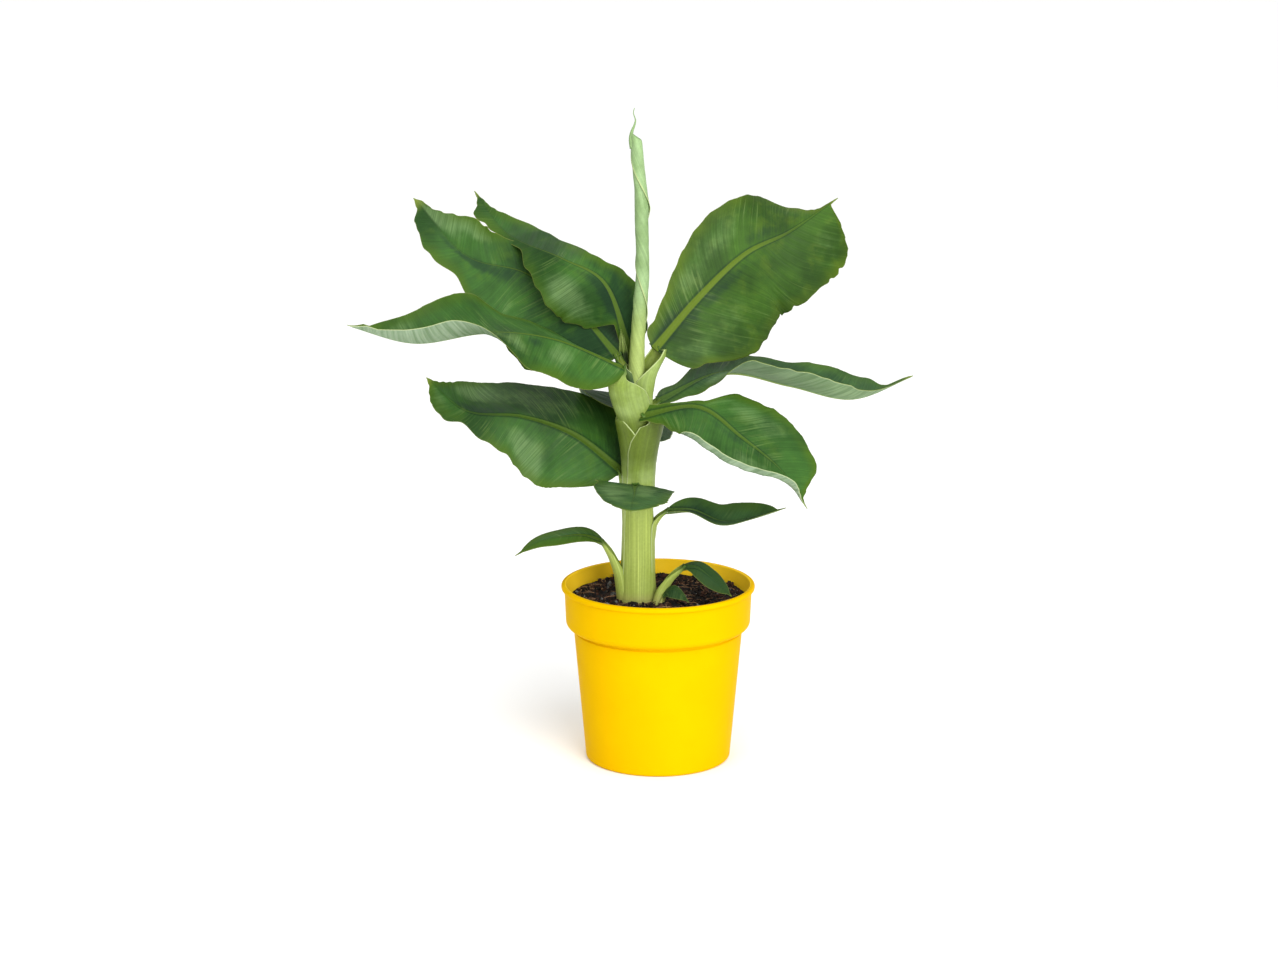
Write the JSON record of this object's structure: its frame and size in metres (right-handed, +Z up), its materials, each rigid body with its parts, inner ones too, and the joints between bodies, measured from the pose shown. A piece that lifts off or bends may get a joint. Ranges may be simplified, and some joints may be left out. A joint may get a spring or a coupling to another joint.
{
  "type": "potted banana plant",
  "caption": "Young banana plant with broad paddle leaves and a rolled new leaf on a thick upright stem, standing in soil in a round yellow collared plastic pot.",
  "frame": {"origin": "middle of the pot's flat underside", "axes": "+Z up along the pot's axis, -Y towards the viewer of the picture, +X to the viewer's right"},
  "size_m": [0.5401, 0.27, 0.645],
  "materials": {
    "pot": "satin yellow",
    "soil": "rough dark brown peat",
    "stem": "smooth yellow-green, finely lined",
    "rolled_leaf": "waxy pale green",
    "stalk": "smooth yellow-green",
    "leaf": "satin dark green"
  },
  "bodies": {
    "root": {"pot": "pot", "soil": "soil", "stem": "stem", "leaf_rolled": "rolled_leaf", "stalk_upper_right": "stalk", "stalk_upper_back": "stalk", "stalk_upper_left": "stalk", "stalk_middle_left": "stalk", "stalk_middle_right": "stalk", "stalk_lower_left": "stalk", "stalk_lower_right": "stalk", "stalk_back": "stalk", "stalk_front": "stalk", "stalk_small_right": "stalk", "stalk_small_left": "stalk", "stalk_offshoot_large": "stalk", "stalk_offshoot_small": "stalk", "leaf_upper_right": "leaf", "leaf_upper_back": "leaf", "leaf_upper_left": "leaf", "leaf_middle_left": "leaf", "leaf_middle_right": "leaf", "leaf_lower_left": "leaf", "leaf_lower_right": "leaf", "leaf_back": "leaf", "leaf_front": "leaf", "leaf_small_right": "leaf", "leaf_small_left": "leaf", "leaf_offshoot_large": "leaf", "leaf_offshoot_small": "leaf"}
  },
  "joints": []
}
